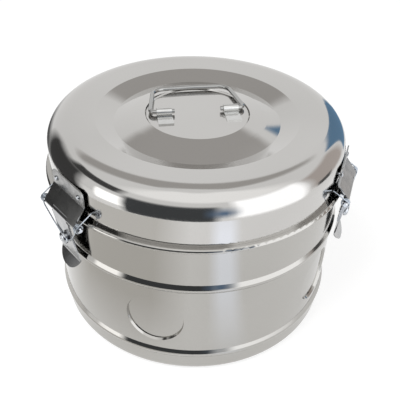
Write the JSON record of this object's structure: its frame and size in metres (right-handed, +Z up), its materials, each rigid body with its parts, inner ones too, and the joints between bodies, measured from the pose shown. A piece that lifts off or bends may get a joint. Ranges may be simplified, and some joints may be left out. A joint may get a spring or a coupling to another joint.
{
  "type": "sterilization drum",
  "caption": "Round lidded steel sterilization drum with a bail handle, sprung side latches, beaded wall and a shuttered vent in the base.",
  "frame": {"origin": "middle of the foot, at the height of the surface that the drum stands on", "axes": "+Z up through the middle of the lid; +X along the hinge of the bail handle; +Y towards the back latch and the bail as it lies"},
  "size_m": [0.2851, 0.2884, 0.2],
  "materials": {
    "drum_steel": "polished stainless steel with fine drawing lines round the wall",
    "lid_steel": "polished stainless steel, spun",
    "bail_wire": "polished round wire",
    "clip_steel": "pressed stainless strip",
    "vent_steel": "satin stainless sheet",
    "rivet_steel": "plated steel",
    "keeper_steel": "zinc-plated steel, bluish",
    "lever_steel": "zinc-plated steel, bluish",
    "hook_steel": "zinc-plated steel",
    "spring_steel": "plated spring wire"
  },
  "bodies": {
    "drum": {"drum_body": "drum_steel", "shutter_rivet": "rivet_steel", "shutter_washer": "vent_steel", "shutter_stop_pin": "rivet_steel"},
    "lid": {"lid_shell": "lid_steel", "handle_clip_left": "clip_steel", "handle_clip_right": "clip_steel", "keeper_rivets": "rivet_steel", "keeper_plate_1": "keeper_steel", "hinge_pin_1": "rivet_steel", "keeper_plate_2": "keeper_steel", "hinge_pin_2": "rivet_steel", "keeper_plate_3": "keeper_steel", "hinge_pin_3": "rivet_steel"},
    "bail": {"handle_bail": "bail_wire"},
    "shutter": {"vent_shutter": "vent_steel", "shutter_knob": "vent_steel"},
    "latch_1": {"latch_lever_1": "lever_steel", "latch_hook_1": "hook_steel", "lever_rivet_1": "rivet_steel", "torsion_spring_1": "spring_steel"},
    "latch_2": {"latch_lever_2": "lever_steel", "latch_hook_2": "hook_steel", "lever_rivet_2": "rivet_steel", "torsion_spring_2": "spring_steel"},
    "latch_3": {"latch_lever_3": "lever_steel", "latch_hook_3": "hook_steel", "lever_rivet_3": "rivet_steel", "torsion_spring_3": "spring_steel"}
  },
  "joints": [
    {"name": "lid_lift", "type": "slide", "parent": "drum", "child": "lid", "axis": [0, 0, 1], "range_m": [0, 0.16]},
    {"name": "bail_hinge", "type": "hinge", "parent": "lid", "child": "bail", "pos_m": [0, 0, 0.19675], "axis": [1, 0, 0], "range_deg": [0, 180]},
    {"name": "vent_turn", "type": "hinge", "parent": "drum", "child": "shutter", "pos_m": [0, 0, 0.0052], "axis": [0, 0, 1], "range_deg": [0, 22.5]},
    {"name": "latch_1_hinge", "type": "hinge", "parent": "lid", "child": "latch_1", "pos_m": [-0.12384, -0.07441, 0.15], "axis": [-0.515, 0.8572, 0], "range_deg": [0, 90], "stiffness_Nm_per_rad": 0.05, "springref_deg": -57.3, "deforming": ["torsion_spring_1"]},
    {"name": "latch_2_hinge", "type": "hinge", "parent": "lid", "child": "latch_2", "pos_m": [0.12637, -0.07004, 0.15], "axis": [-0.4848, -0.8746, 0], "range_deg": [0, 90], "stiffness_Nm_per_rad": 0.05, "springref_deg": -57.3, "deforming": ["torsion_spring_2"]},
    {"name": "latch_3_hinge", "type": "hinge", "parent": "lid", "child": "latch_3", "pos_m": [-0.00252, 0.14446, 0.15], "axis": [0.9998, 0.0175, 0], "range_deg": [0, 90], "stiffness_Nm_per_rad": 0.05, "springref_deg": -57.3, "deforming": ["torsion_spring_3"]}
  ]
}
